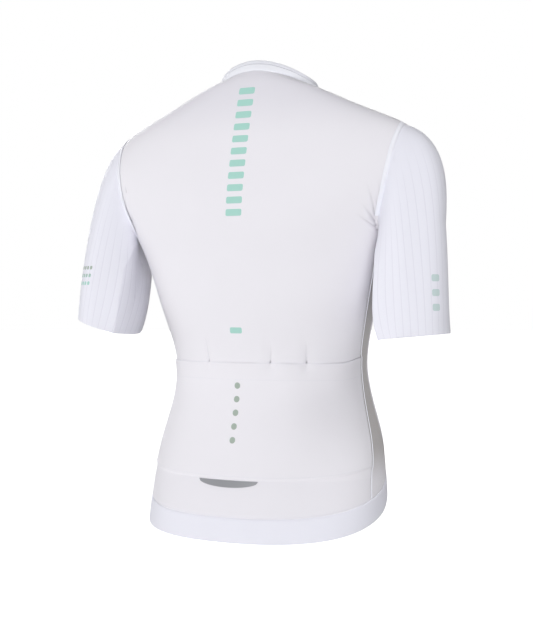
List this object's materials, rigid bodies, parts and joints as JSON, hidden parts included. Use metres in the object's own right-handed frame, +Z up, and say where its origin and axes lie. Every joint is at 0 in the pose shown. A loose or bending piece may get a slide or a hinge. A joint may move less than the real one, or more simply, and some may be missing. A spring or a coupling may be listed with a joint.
{
  "type": "cycling jersey",
  "caption": "Short-sleeved cycling jersey in worn, hollow form: body panels, rear pocket panel, ribbed sleeves, low collar, hem band and front zip.",
  "frame": {"origin": "middle of the neck opening, level with the root of the neck, where the wearer's shoulders carry the jersey", "axes": "+Z up, -Y the front, +X the wearer's left"},
  "size_m": [0.5599, 0.2534, 0.6442],
  "materials": {
    "knit": "smooth matt knit",
    "rib": "fine ribbed knit",
    "hem": "dense elastic knit",
    "trim": "flat tape",
    "reflective": "satin reflective film",
    "zip": "woven zip tape",
    "coil": "moulded nylon",
    "metal": "cast and tumbled"
  },
  "bodies": {
    "root": {"back": "knit", "pocket_panel": "knit", "reflective_tab": "reflective", "front_left": "knit", "side_left": "knit", "sleeve_left": "rib", "seam_tape_left": "trim", "front_right": "knit", "side_right": "knit", "sleeve_right": "rib", "seam_tape_right": "trim", "hem_band": "hem", "collar": "trim", "collar_binding": "trim", "zip_tape_left": "zip", "zip_tape_right": "zip", "zip_coil": "coil", "zip_slider": "metal"},
    "pull_tab": {"zip_pull": "metal"}
  },
  "joints": [
    {"name": "pull_hinge", "type": "hinge", "parent": "root", "child": "pull_tab", "pos_m": [0, -0.05924, -0.05665], "axis": [-1, 0, 0], "range_deg": [0, 130]}
  ]
}
